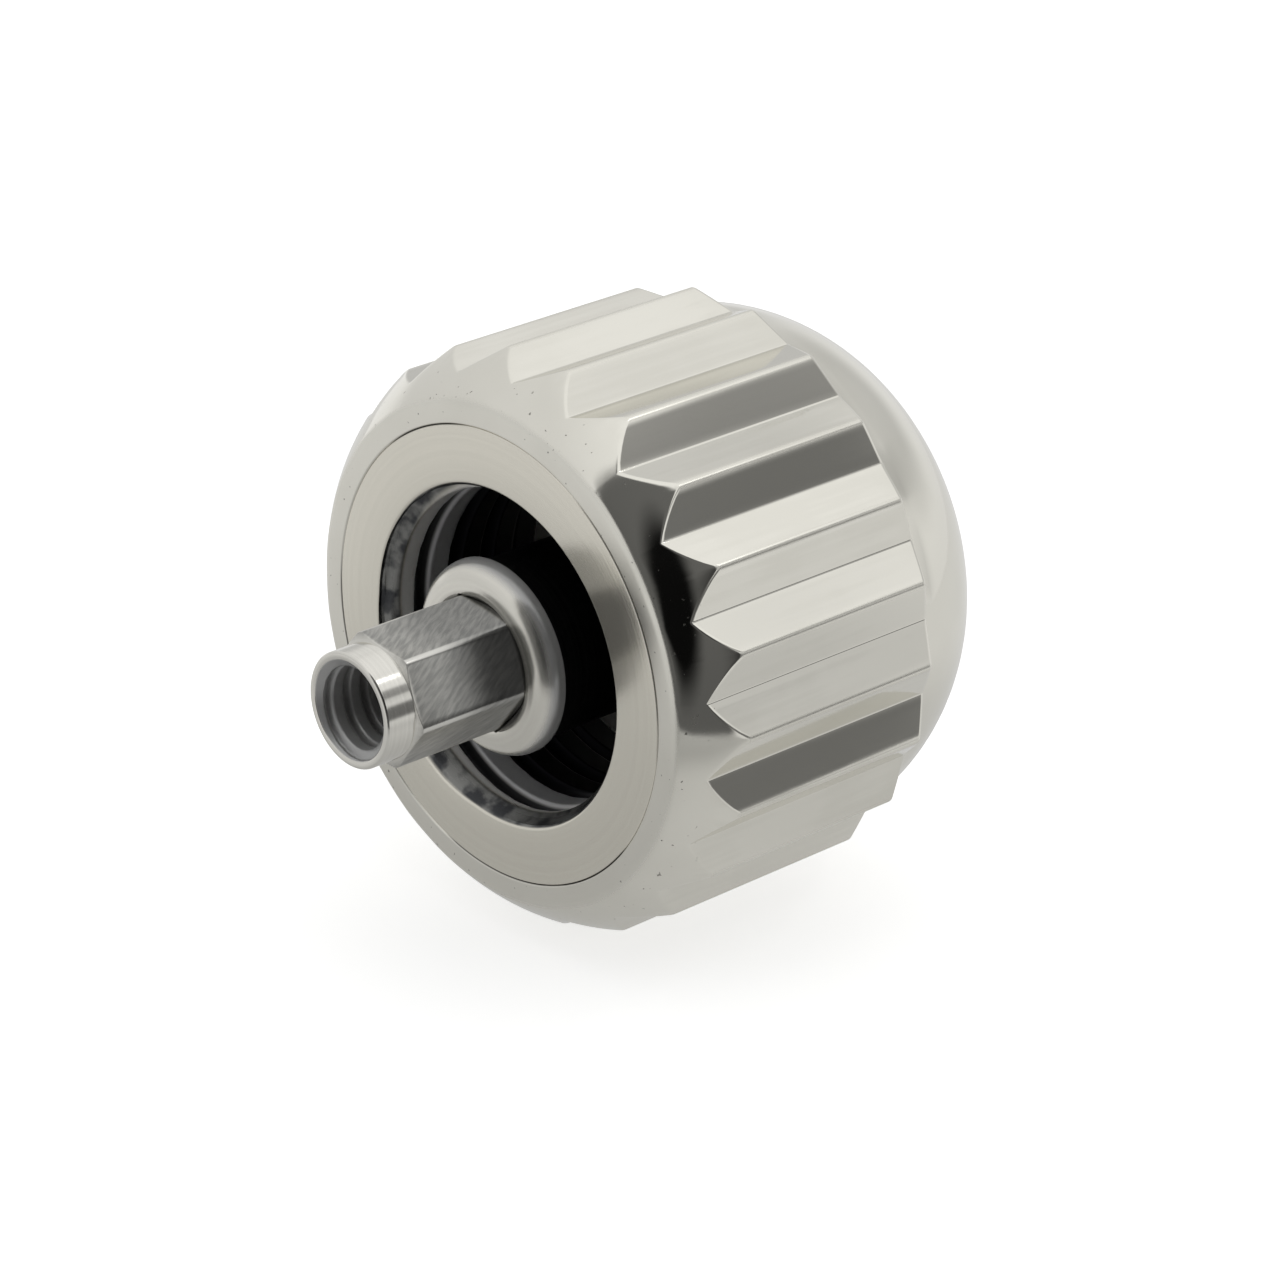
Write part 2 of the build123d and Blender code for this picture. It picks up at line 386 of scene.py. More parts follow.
def arc(centre, radius, first, last, count):
    """Points of an arc whose normal turns between two angles, in degrees from square to X."""
    points = []
    for step in range(count + 1):
        angle = radians(first + (last - first) * step / count)
        points.append((centre[0] + radius * sin(angle), centre[1] + radius * cos(angle), 0))
    return points


example = break_corner((0, 0), (1, 0), (1, 1), 0.2)
print("a broken corner", [tuple(round(c, 3) for c in point) for point in example])


# %% Sections that aren't round
def broken_section(corners, spans):
    """(angle, radius) round a closed outline of (y, z, reach) corners, with each side divided."""
    outline = []
    ends = []
    count = len(corners)
    for i, corner in enumerate(corners):
        before, after = corners[i - 1], corners[(i + 1) % count]
        ends.append(break_corner(before[:2], corner[:2], after[:2], corner[2]))
    for i, curve in enumerate(ends):
        following = ends[(i + 1) % count][0]
        outline += curve
        outline += [between(curve[-1], following, s / spans) for s in range(1, spans)]
    return [(atan2(p[1], p[0]) % (2 * pi), hypot(*p)) for p in outline]


def hexagon(half_width, reach, spans=12):
    """The section of the post or of the hole that it slides in."""
    corners = []
    for i in range(6):
        angle = radians(HEXAGON_TURN + 60 * i)
        far = half_width / cos(pi / 6)
        corners.append((far * cos(angle), far * sin(angle), reach))
    return broken_section(corners, spans)


# %% Spin the lines into a mesh
WELD_DISTANCE = 1e-8
SHORTEST_EDGE = 1e-9
NORMAL_WEIGHT = 80


def place_at(along, radius, angle):
    """A point of a mesh whose axis is Z, in metres."""
    return (radius * cos(angle) * MM, radius * sin(angle) * MM, along * MM)


def strips(columns, rows, ring, closed):
    """The faces between neighbouring columns of points, which may close both ways."""
    faces = []
    for i in range(columns if ring else columns - 1):
        here, there = i * rows, (i + 1) % columns * rows
        for j in range(rows if closed else rows - 1):
            after = (j + 1) % rows
            faces.append((here + j, there + j, there + after, here + after))
    return faces


def lay_along_x(name, vertices, faces):
    """An object with its own Z laid along the crown's axis. Only four-sided faces are smooth."""
    mesh = bpy.data.meshes.new(name)
    mesh.from_pydata(vertices, [], faces)
    mesh.polygons.foreach_set("use_smooth", [len(face) == 4 for face in faces])
    piece = bpy.data.objects.new(name, mesh)
    bpy.context.scene.collection.objects.link(piece)
    piece.rotation_euler = (0, pi / 2, 0)
    return piece


def weld(mesh):
    """Join the points that fall together on the axis."""
    work = bmesh.new()
    work.from_mesh(mesh)
    bmesh.ops.remove_doubles(work, verts=work.verts, dist=WELD_DISTANCE)
    bmesh.ops.dissolve_degenerate(work, edges=work.edges, dist=SHORTEST_EDGE)
    work.to_mesh(mesh)
    work.free()


def spin(name, section, line_at, closed=False):
    """A turned piece: line_at gives the line of points for each (angle, radius) of a section."""
    lines = [line_at(angle, radius) for angle, radius in section]
    vertices = []
    for (angle, _), line in zip(section, lines):
        vertices += [place_at(along, radius, angle) for along, radius in line]
    faces = strips(len(lines), len(lines[0]), ring=True, closed=closed)
    piece = lay_along_x(name, vertices, faces)
    weld(piece.data)
    even = piece.modifiers.new("flat_faces_stay_flat", "WEIGHTED_NORMAL")
    even.weight = NORMAL_WEIGHT
    print(name, len(piece.data.vertices), "points")
    return piece


# %% [markdown]
# ## The fluted shell
# The cap is turned from bar, and the flutes are milled as flat facets, two to a flute. Then the
# front is turned to a bulging bevel, which leaves the zigzag where it runs out over the crests
# and the roots. Behind, the flutes run out over a step into the shoulder of the dome. So each
# column of the mesh goes up the bevel until it meets its own facet, along the facet, down the
# step and over the dome. The columns crowd at the crests and roots, which are narrow curves. Each
# of those is given as the radius of its sharp corner and the reach of its rounding.

# %% The fluted section
CREST = (3.5065, 0.04)
ROOT = (ROOT_RADIUS, 0.014)
FACET_SPANS = 6

flute_angle = 2 * pi / FLUTES
section_corners = []
for i in range(2 * FLUTES):
    far, reach = CREST if i % 2 else ROOT
    angle = i * flute_angle / 2
    section_corners.append((far * cos(angle), far * sin(angle), reach))
fluted = broken_section(section_corners, FACET_SPANS)
print("columns round the shell", len(fluted))

# %% One line of the shell for each column
BEVEL_CENTRE = (1.3955, 1.8003)
BEVEL_RADIUS = 1.84025
CREST_END = 3.52
STEP_SLOPE = 0.18 / 0.27
STEP_FOOT = (3.70, 3.23)
SHOULDER_RADIUS = 2.2
EDGE_RADIUS = 0.6
DOME_ANGLES = (6, 48, 77, 90)
BEVEL_STEPS = 12


def bevel_at(radius):
    """Where the bulging bevel is, along the axis, at a radius."""
    return BEVEL_CENTRE[0] - sqrt(BEVEL_RADIUS**2 - (radius - BEVEL_CENTRE[1]) ** 2)


def arc_centre(start, radius, angle):
    """The centre of an arc that starts at a point with its normal at an angle in degrees."""
    return (start[0] - radius * sin(radians(angle)), start[1] - radius * cos(radians(angle)))


def dome_line():
    """The shoulder, the edge and the top of the dome, each tangent to the next."""
    foot, shoulder_end, edge_end, axis = DOME_ANGLES
    centre = arc_centre(STEP_FOOT, SHOULDER_RADIUS, foot)
    shoulder = arc(centre, SHOULDER_RADIUS, foot, shoulder_end, 12)
    centre = arc_centre(shoulder[-1], EDGE_RADIUS, shoulder_end)
    edge = arc(centre, EDGE_RADIUS, shoulder_end, edge_end, 10)
    end = edge[-1]
    far = end[1] / cos(radians(edge_end))
    top = arc((end[0] - far * sin(radians(edge_end)), 0), far, edge_end, axis, 10)
    return shoulder + edge[1:] + top[1:]


def shell_line(_, radius):
    """Inside of the cap, lip, bevel, facet, step and dome of one column."""
    inside = [(CORE_END, 0, 0), (CORE_END, CORE_RADIUS, 0), (SEAM_BREAK, CORE_RADIUS, 0.005)]
    lip = [(0, CORE_RADIUS + SEAM_BREAK, 0.008), (0, LIP_RADIUS, 0.075)]
    bevel = []
    for step in range(3, BEVEL_STEPS):
        at = LIP_RADIUS + (radius - LIP_RADIUS) * step / BEVEL_STEPS
        bevel.append((bevel_at(at), at, 0))
    facet = [
        (bevel_at(radius), radius, 0.04),
        (CREST_END + (CREST_RADIUS - radius) * STEP_SLOPE, radius, 0.045),
    ]
    dome = dome_line()
    foot = [(*dome[0][:2], 0.02)]
    return broken_line(inside + lip + bevel + facet + foot + dome[1:])


shell = spin("fluted_shell", fluted, shell_line)
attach(shell, "crown")
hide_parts("crown_shell")

# %% [markdown]
# ## The threaded core
# The flat ring at the front is the end of a sleeve that is pressed into the shell, and the fine
# dark seam round it is the joint. Its bore holds the thread for the case tube. A thread could be
# swept along a helix, but its ends are then hard to close. Here the bore is a fine grid whose
# radius follows the thread's section wherever a turn of the groove passes, so that the groove
# opens cleanly through the bevelled mouth and fades out before the chamber.

# %% A thread as the radius of a bore
GROOVE_HALF_WIDTH = 0.23
GROOVE_FLANK = 0.16
THREAD_TURN = 80 / 360


def groove_share(along, angle, pitch, start):
    """How deep in the groove a point is, from 0 on a crest to 1 on the floor of the groove."""
    turns = (along - start) / pitch - angle / (2 * pi)
    off_centre = abs(turns - round(turns))
    return min(max((GROOVE_HALF_WIDTH - off_centre) / GROOVE_FLANK, 0), 1)


def steps(first, last, size):
    """Places from first to last, about a size apart."""
    count = max(1, round(abs(last - first) / size))
    return [first + (last - first) * i / count for i in range(count + 1)]


# %% The core
CASE_PITCH = 0.5
CASE_DEPTH = 0.17
CASE_START = 0.54 - CASE_PITCH * THREAD_TURN
CASE_FADE = (1.85, 2.0)
CORE_COLUMNS = 240


def core_bore(along, angle):
    """Radius of the bore: the bevelled mouth or the thread, whichever is wider."""
    mouth = MOUTH_RADIUS + (BORE_RADIUS - MOUTH_RADIUS) * min(along / MOUTH_DEPTH, 1)
    fade = min(max((CASE_FADE[1] - along) / (CASE_FADE[1] - CASE_FADE[0]), 0), 1)
    groove = CASE_DEPTH * fade * groove_share(along, angle, CASE_PITCH, CASE_START)
    return max(mouth, BORE_RADIUS + groove)


def core_line(angle, _):
    """Ring face, outside, chamber, threaded bore and mouth of one column."""
    bore = [(x, core_bore(x, angle), 0) for x in steps(THREAD_END, 0.035, 0.015)]
    edge = core_bore(0, angle)
    mouth = [(0.018, edge, 0), (0.006, edge + 0.009, 0)]
    rim = [(0, CORE_RADIUS - SEAM_BREAK, 0.008), (SEAM_BREAK, CORE_RADIUS, 0.005)]
    back = [
        (CORE_END, CORE_RADIUS, 0),
        (CORE_END, CHAMBER_RADIUS, 0),
        (THREAD_END, CHAMBER_RADIUS, 0),
    ]
    return broken_line([(0, edge + 0.03, 0)] + rim + back + bore + mouth)


circle = [(2 * pi * i / CORE_COLUMNS, CORE_RADIUS) for i in range(CORE_COLUMNS)]
core = spin("threaded_ring", circle, core_line, closed=True)
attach(core, "crown")
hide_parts("threaded_core")

# %% [markdown]
# ## The retaining collar
# The bush that keeps the post in is a small turned part with a rounded rim, a front face that
# bows out by four microns, and a hexagonal hole. The hole meets the bevel of its mouth in six
# shallow curves, which come out by themselves when each column has its own radius.

# %% The collar
HOLE_HALF_WIDTH = 0.72
MOUTH_EDGE = 0.82
LEAD_IN_DEPTH = 0.1
RIM_ROUNDING = 0.28
CROWNING = 0.004


def collar_line(_, hole):
    """Lead-in, front face, rim, outside and hole of one column."""
    lead_in = LEAD_IN_DEPTH * (MOUTH_EDGE - hole) / (MOUTH_EDGE - HOLE_HALF_WIDTH)
    face_end = COLLAR_RADIUS - RIM_ROUNDING
    front = [
        (COLLAR_FRONT + lead_in, hole, 0.01),
        (COLLAR_FRONT, MOUTH_EDGE, 0.018),
    ]
    for share in (0.2, 0.4, 0.6, 0.8):
        bow = CROWNING * (1 - (2 * share - 1) ** 2)
        front.append((COLLAR_FRONT - bow, MOUTH_EDGE + (face_end - MOUTH_EDGE) * share, 0))
    rim = arc((COLLAR_FRONT + RIM_ROUNDING, face_end), RIM_ROUNDING, -90, 0, 12)
    back = [
        (TUBE_MOUTH, COLLAR_RADIUS, 0.015),
        (TUBE_MOUTH, TUBE_BORE, 0),
        (COLLAR_END, TUBE_BORE, 0.02),
        (COLLAR_END, hole, 0.01),
        (COLLAR_FRONT + lead_in + 0.02, hole, 0),
    ]
    return broken_line([(COLLAR_FRONT + lead_in + 0.01, hole, 0)] + front + rim + back)


collar = spin("hexagon_collar", hexagon(HOLE_HALF_WIDTH, 0.02), collar_line, closed=True)
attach(collar, "crown")
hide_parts("retaining_collar")

# %% [markdown]
# ## The post
# The post is hexagon bar. Its nose is turned round, which leaves a cone where it runs out on
# the flats, and it is drilled and tapped for the stem. Its head keeps it in the guide tube and
# its tail carries the spring. Its line starts at the drill point, comes out along the threaded
# bore, turns over the rim and goes back along the outside.

# %% The post
STEM_RADIUS = 0.49
STEM_DEPTH = 0.1
STEM_PITCH = 0.25
STEM_START = -2.02 - STEM_PITCH * THREAD_TURN
STEM_MOUTH_RADIUS = 0.6
STEM_BORE_END = -0.427
DRILL_POINT = -0.133
CONE_SLOPE = 0.078 / 0.2213
HEAD_START, HEAD_END, HEAD_RADIUS = 0.67, 0.97, 0.891
TAIL_END, TAIL_RADIUS = 1.67, 0.42
BAR_HALF_WIDTH = 0.7
BAR_CORNER = 0.055


def stem_bore(along, angle):
    """Radius of the tapped bore: its countersink or its thread, whichever is wider."""
    countersink = STEM_MOUTH_RADIUS - (along - POST_TIP)
    fade = min(max((STEM_BORE_END - 0.15 - along) / 0.1, 0), 1)
    groove = STEM_DEPTH * fade * groove_share(along, angle, STEM_PITCH, STEM_START)
    return max(countersink, STEM_RADIUS + groove)


def post_line(angle, flat):
    """Tapped bore, rim, nose, cone, flat, head and tail of one column."""
    bore = [(x, stem_bore(x, angle), 0) for x in steps(STEM_BORE_END, POST_TIP, 0.0105)]
    mouth = bore[-1][1]
    rim = [(POST_TIP + 0.004, mouth, 0), (POST_TIP, mouth + 0.006, 0)]
    nose = [
        (POST_TIP, NOSE_RADIUS - 0.02, 0.012),
        (POST_TIP + 0.02, NOSE_RADIUS, 0.01),
        (NOSE_END, NOSE_RADIUS, 0.006),
        (NOSE_END + (flat - NOSE_RADIUS) * CONE_SLOPE, flat, 0.006),
    ]
    head = [
        (HEAD_START, flat, 0),
        (HEAD_START, HEAD_RADIUS, 0.02),
        (HEAD_END, HEAD_RADIUS, 0.02),
        (HEAD_END, TAIL_RADIUS, 0.02),
        (TAIL_END, TAIL_RADIUS, 0.03),
        (TAIL_END, 0, 0),
    ]
    return broken_line([(DRILL_POINT, 0, 0)] + bore[:-1] + rim + nose + head)


post = spin("hexagon_post", hexagon(BAR_HALF_WIDTH, BAR_CORNER, 14), post_line)
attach(post, "post")
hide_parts("stem_post")

# %% [markdown]
# ## The return spring
# The spring is drawn wire wound on a rod, so it is a circle carried along a helix. A curve with
# a round bevel would do it, but a piece that has to shorten must be a mesh, so its points are
# placed one ring after another. It sits between the head of the post and the end of the core.

# %% The spring
SPRING_RADIUS = 0.721
WIRE_RADIUS = 0.08
SPRING_START = 1.06
SPRING_END = 3.81
SPRING_TURNS = 7
WIRE_SIDES = 12
STEPS_A_TURN = 36


def coil(name):
    """A round wire along a right-hand helix, closed at both ends."""
    count = SPRING_TURNS * STEPS_A_TURN
    vertices = []
    for i in range(count + 1):
        turn = 2 * pi * SPRING_TURNS * i / count
        middle = SPRING_START + (SPRING_END - SPRING_START) * i / count
        for side in range(WIRE_SIDES):
            angle = 2 * pi * side / WIRE_SIDES
            radius = SPRING_RADIUS + WIRE_RADIUS * cos(angle)
            along = middle + WIRE_RADIUS * sin(angle)
            vertices.append(place_at(along, radius, turn))
    ends = [range(WIRE_SIDES), reversed(range(count * WIRE_SIDES, len(vertices)))]
    faces = [tuple(end) for end in ends] + strips(count + 1, WIRE_SIDES, ring=False, closed=True)
    print(name, len(vertices), "points")
    return lay_along_x(name, vertices, faces)


spring = coil("coil_spring")
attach(spring, "crown")
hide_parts("return_spring")
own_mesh(spring)

# %% [markdown]
# ## Steel finishes
# Stainless steel has one colour, and its finishes differ in how they spread a reflection. The
# polished shell spreads it hardly at all, with faint clouding from handling. Turned faces have
# fine rings, so they spread it across the rings and show a dark streak where the lens is. The
# flats of the post are ground, with slanting scratches. The tones differ a little too: a dull
# place looks darker than a clean one, and some tones are painted shade and painted light, darker
# in the mouth, grooves and depth of the bore, at the collar's hole, behind the collar and on the
# guide tube, and lighter on the first turn of the thread and along the post's corners. Places
# along the axis and radii are in millimetres.

# %% What every finish starts from
STEEL = (0.80, 0.783, 0.715, 1)
DULL_STEEL = (0.66, 0.645, 0.60, 1)
GRIME = (0.05, 0.045, 0.04, 1)
PLAIN_GREY = (0.5, 0.5, 0.495, 1)
SEAM_REACH = 0.018
ROUND_THE_AXIS = 0.25


def begin(name):
    """A material with an empty graph, and the place on the piece in millimetres."""
    material = bpy.data.materials.new(name)
    material.use_nodes = True
    graph = Graph(material.node_tree)
    metres = graph.add("ShaderNodeTexCoord", output="Object")
    spot = graph.add("ShaderNodeVectorMath", {"operation": "SCALE"}, {0: metres, "Scale": 1 / MM})
    return material, graph, spot


def split(graph, spot, names="XYZ"):
    """The coordinates of a place that are named."""
    return [graph.add("ShaderNodeSeparateXYZ", inputs={0: spot}, output=name) for name in names]


def polar(graph, spot, axis="Z"):
    """(along, radius) on a piece whose axis is its own Z, or X for a packed solid."""
    x, y, z = split(graph, spot)
    along, first, second = (z, x, y) if axis == "Z" else (x, y, z)
    return along, (first * first + second * second) ** 0.5


def clouds(graph, spot, scale, detail=3.0):
    """Soft noise from 0 to 1, with that many lumps to each unit of the place."""
    inputs = {"Vector": spot, "Scale": scale, "Detail": detail}
    return graph.add("ShaderNodeTexNoise", {"noise_dimensions": "3D"}, inputs)


def rings(graph, radius, per_mm, detail=2.0):
    """Fine rings left by a lathe, from 0 to 1."""
    inputs = {"W": radius, "Scale": per_mm, "Detail": detail}
    return graph.add("ShaderNodeTexNoise", {"noise_dimensions": "1D"}, inputs)


def relief(graph, height, microns):
    """The normal of a surface with that much relief."""
    inputs = {"Height": height, "Distance": microns * 1e-6, "Strength": 1.0}
    return graph.add("ShaderNodeBump", inputs=inputs)


def patchy(graph, spot):
    """Where grime has stayed in the seam, which is only in places."""
    return graph.fade(clouds(graph, spot, 0.6, 1.0), 0.45, 0.6, 0.05, 1.0)


def finish(graph, inputs):
    """The surface shader of a finish and its output."""
    shader = graph.add("ShaderNodeBsdfPrincipled", inputs=inputs)
    graph.add("ShaderNodeOutputMaterial", inputs={"Surface": shader})


# %% Polished steel of the shell
CLOUDED_STEEL = (0.765, 0.748, 0.68, 1)
ALONG_THE_FLUTES = (9.0, 9.0, 0.5)


def polished_steel():
    """Mirror steel with faint clouds, a few pits in front and satin on its lip and crests."""
    material, graph, spot = begin("polished_steel")
    along, radius = polar(graph, spot)
    smudge = clouds(graph, spot, 0.7)
    stretch = {"Vector": spot, "Scale": ALONG_THE_FLUTES}
    drawn_out = graph.add("ShaderNodeMapping", {"vector_type": "POINT"}, stretch)
    streaks = clouds(graph, drawn_out, 1.0, 2.0)
    speck = clouds(graph, spot, 16.0, 1.0)
    pits = graph.fade(speck, 0.735, 0.76) * graph.fade_out(along, 0.15, 0.5)
    at_core = graph.fade_out(radius, CORE_RADIUS, CORE_RADIUS + SEAM_REACH)
    seam = at_core * graph.fade_out(along, 0.0, 0.3) * patchy(graph, spot)
    on_flutes = graph.fade(along, 0.3, 0.6) * graph.fade_out(along, 3.3, 3.6)
    clouded = graph.fade(smudge + 0.6 * on_flutes * (streaks - 0.5), 0.4, 0.7)
    steel = graph.blend(clouded, STEEL, CLOUDED_STEEL)
    worn = graph.blend(pits * 0.6, steel, GRIME)
    colour = graph.blend(seam, worn, GRIME)
    wave = clouds(graph, spot, 1.6, 2.0)
    on_lip = graph.fade_out(along, 0.004, 0.05)
    on_crest = graph.fade(radius, 3.472, 3.492)
    finish(graph, {
        "Base Color": colour,
        "Metallic": 1.0,
        "Roughness": 0.07 + 0.04 * clouded + 0.3 * pits + 0.24 * on_lip + 0.24 * on_crest,
        "Normal": relief(graph, wave + 0.2 * clouds(graph, spot, 14.0), 0.5),
    })
    return material


shell.data.materials.append(polished_steel())


# %% Turned steel of the ring and its thread
RING_GROOVES = (0.78, 0.75, 0.665, 1)
RING_RIDGES = (0.83, 0.80, 0.71, 1)
# Painted shade of the bevelled mouth, mottled between a darker and a lighter grey.
MOUTH_SHADE_DARK = (0.05, 0.052, 0.056, 1)
MOUTH_SHADE_LIGHT = (0.24, 0.24, 0.23, 1)
# Painted light on the first turn of the thread, then grey on the later turns.
FIRST_TURN_PAINTED_LIGHT = (0.95, 0.94, 0.91, 1)
LATER_TURNS = (0.62, 0.62, 0.63, 1)
# Painted shade in the grooves of the thread.
GROOVE_SHADE = (0.015, 0.015, 0.017, 1)
# Painted shade deep in the bore.
DEEP_BORE_SHADE = (0.006, 0.006, 0.007, 1)


def turned_steel():
    """A bright turned ring, with painted shade in the mouth, the grooves and deep in the bore, and
    painted light on the thread's first turn.
    """
    material, graph, spot = begin("turned_steel")
    along, radius = polar(graph, spot)
    ring_marks = rings(graph, radius, 14.0)
    fine_marks = rings(graph, radius, 55.0)
    seam = graph.fade(radius, CORE_RADIUS - SEAM_REACH, CORE_RADIUS) * patchy(graph, spot)
    steel = graph.blend(ring_marks, RING_GROOVES, RING_RIDGES)
    clean = graph.blend(seam, steel, GRIME)
    # The bevelled mouth is painted dark grey and mottled: painted shade where the ring turns into
    # the bore.
    mottle = graph.fade(clouds(graph, spot, 3.5), 0.4, 0.62)
    mouth_shade = graph.blend(mottle, MOUTH_SHADE_DARK, MOUTH_SHADE_LIGHT)
    on_mouth = graph.fade(along, 0.008, 0.03) * graph.fade_out(along, 0.2, 0.25)
    mouth = graph.blend(on_mouth, clean, mouth_shade)
    # The first turn of the thread is painted near white and the later turns grey: painted light,
    # brightest on the turn nearest the opening.
    past_first_turn = graph.fade(along, 0.42, 0.6)
    with_painted_light = graph.blend(graph.fade(along, 0.22, 0.27), mouth, FIRST_TURN_PAINTED_LIGHT)
    thread = graph.blend(past_first_turn, with_painted_light, LATER_TURNS)
    # The floors of the grooves are painted near black: painted shade in the grooves.
    off_crest = graph.fade(radius, BORE_RADIUS + 0.02, BORE_RADIUS + 0.07)
    in_groove = off_crest * graph.fade(along, 0.24, 0.3)
    groove_shaded = graph.blend(in_groove, thread, GROOVE_SHADE)
    # Further in, the bore is painted near black: painted shade deep in the bore.
    depth = graph.fade(along, 0.92, 1.02)
    cloud = clouds(graph, spot, 1.1)
    in_mouth, in_thread = graph.fade(along, 0.01, 0.05), graph.fade(along, 0.2, 0.27)
    bare = 0.84 - 0.11 * in_mouth - 0.7 * in_thread + 0.17 * past_first_turn
    finish(graph, {
        "Base Color": graph.blend(depth, groove_shaded, DEEP_BORE_SHADE),
        "Metallic": bare + depth * (1 - bare),
        "Roughness": 0.19 + 0.05 * cloud + 0.2 * graph.fade(along, 0.01, 0.4),
        "Anisotropic": 0.4,
        "Anisotropic Rotation": ROUND_THE_AXIS,
        "Normal": relief(graph, ring_marks + 0.5 * fine_marks, 0.6),
    })
    return material


core.data.materials.append(turned_steel())


# %% Bright turned steel of the collar
COLLAR_GROOVES = (0.74, 0.72, 0.665, 1)
# Painted shade at the edge of the hole.
HOLE_EDGE_SHADE = (0.2, 0.195, 0.18, 1)
# Painted shade where the collar sits in the guide tube.
BEHIND_COLLAR_SHADE = (0.01, 0.01, 0.011, 1)


def collar_steel():
    """Bright in front and duller on the side, with painted shade at the hole's edge and near black
    painted shade where it is in the guide tube.
    """
    material, graph, spot = begin("collar_steel")
    along, radius = polar(graph, spot)
    marks = rings(graph, radius + along, 22.0)
    # Inside the mouth's edge the lead-in and hole are painted dark grey: painted shade where the
    # post goes in.
    outside = graph.fade(radius, 0.78, 0.815)
    side = graph.fade(along, -0.19, -0.08)
    # Where the collar sits in the guide tube it is painted near black: painted shade.
    behind = graph.fade(along, 0.1, 0.45)
    steel = graph.blend(marks, COLLAR_GROOVES, STEEL)
    front = graph.blend(outside, HOLE_EDGE_SHADE, steel)
    greyed = graph.blend(side, front, PLAIN_GREY)
    finish(graph, {
        "Base Color": graph.blend(behind, greyed, BEHIND_COLLAR_SHADE),
        "Metallic": 0.94 - 0.5 * side * (1 - behind),
        "Roughness": 0.2 + 0.08 * marks,
        "Anisotropic": 0.5,
        "Anisotropic Rotation": ROUND_THE_AXIS,
        "Normal": relief(graph, marks, 0.3),
    })
    return material


collar.data.materials.append(collar_steel())


# %% Ground flats and turned nose of the post
SCRATCH_SLANT = radians(32)
SCRATCHES_PER_MM = 24
SCRATCH_ENDS_PER_MM = 4.0
UNROLLED_RADIUS = 0.75
GROUND_DARK = (0.29, 0.29, 0.275, 1)
GROUND_LIGHT = (0.44, 0.435, 0.41, 1)
# Darker tone of the flats towards the collar.
NEAR_COLLAR_DARK = (0.1, 0.1, 0.1, 1)
NOSE_GROOVES = (0.68, 0.665, 0.615, 1)
NOSE_RIDGES = (0.80, 0.785, 0.735, 1)
# Painted highlight along the corners of the hexagon.
CORNER_HIGHLIGHT = (0.7, 0.69, 0.65, 1)


def scratch_place(graph, spot, along):
    """A place on the unrolled flats, with its first coordinate across the slanting scratches."""
    x, y = split(graph, spot, "XY")
    angle = graph.add("ShaderNodeMath", {"operation": "ARCTAN2"}, {0: y, 1: x})
    turns = angle / (2 * pi) - HEXAGON_TURN / 360
    share = graph.add("ShaderNodeMath", {"operation": "FRACT"}, {0: turns})
    around = share * (2 * pi * UNROLLED_RADIUS)
    across = along * sin(SCRATCH_SLANT) + around * cos(SCRATCH_SLANT)
    stroke = along * cos(SCRATCH_SLANT) - around * sin(SCRATCH_SLANT)
    inputs = {"X": across * SCRATCHES_PER_MM, "Y": stroke * SCRATCH_ENDS_PER_MM}
    return graph.add("ShaderNodeCombineXYZ", inputs=inputs)


def post_steel():
    """Ground flats that turn darker in blotches towards the collar, a painted highlight along the
    corners and a bright turned nose.
    """
    material, graph, spot = begin("post_steel")
    along, radius = polar(graph, spot)
    on_nose = graph.fade_out(along, NOSE_END - 0.01, NOSE_END + 0.06)
    slanted = scratch_place(graph, spot, along)
    scratches = clouds(graph, slanted, 1.0, 2.0)
    turned = rings(graph, radius + along, 24.0)
    marks = scratches * (1 - on_nose) + turned * on_nose
    smudge = clouds(graph, spot, 2.2)
    # The flats turn darker in blotches towards the collar.
    clean = 0.6 + 0.4 * graph.fade_out(along + 0.5 * smudge, -1.2, -0.7)
    ground = graph.blend(graph.fade(scratches, 0.3, 0.7), GROUND_DARK, GROUND_LIGHT)
    flats = graph.blend(clean, NEAR_COLLAR_DARK, ground)
    nose = graph.blend(turned, NOSE_GROOVES, NOSE_RIDGES)
    # The corners are painted lighter, most near the nose and fading towards the collar: a painted
    # highlight.
    on_corner = graph.fade(radius, 0.783, 0.794) * graph.fade(along, -1.4, -0.6, 1.0, 0.1)
    with_painted_light = graph.blend(on_corner, flats, CORNER_HIGHLIGHT)
    outside = graph.blend(on_nose, with_painted_light, nose)
    in_bore = graph.fade_out(radius, 0.585, 0.6)
    finish(graph, {
        "Base Color": graph.blend(in_bore, outside, PLAIN_GREY),
        "Metallic": 1 - 0.6 * in_bore,
        "Roughness": 0.19 - 0.07 * on_nose + 0.05 * marks + 0.25 * in_bore,
        "Anisotropic": 0.4,
        "Anisotropic Rotation": ROUND_THE_AXIS,
        "Normal": relief(graph, marks, 0.3),
    })
    return material


post.data.materials.append(post_steel())


# %% Finishes of the pieces inside
# The guide tube is painted near black: painted shade, as it lies behind the collar in the dark.
SHADED_TUBE_TONES = ((0.01, 0.01, 0.011, 1), (0.03, 0.03, 0.03, 1))
STAMPED_TONES = (DULL_STEEL, (0.7, 0.69, 0.65, 1))
DRAWN_TONES = (DULL_STEEL, (0.6, 0.59, 0.56, 1))
RUBBER_TONES = ((0.018, 0.018, 0.018, 1), (0.04, 0.04, 0.04, 1))


def inner_steel(name, tones, roughness, per_mm, axis="X"):
    """Turned or drawn steel, with rings round the axis of the piece."""
    material, graph, spot = begin(name)
    along, radius = polar(graph, spot, axis)
    marks = rings(graph, radius + along, per_mm)
    finish(graph, {
        "Base Color": graph.blend(marks, *tones),
        "Metallic": 1.0,
        "Roughness": roughness + 0.1 * marks,
        "Normal": relief(graph, marks, 1.5),
    })
    return material


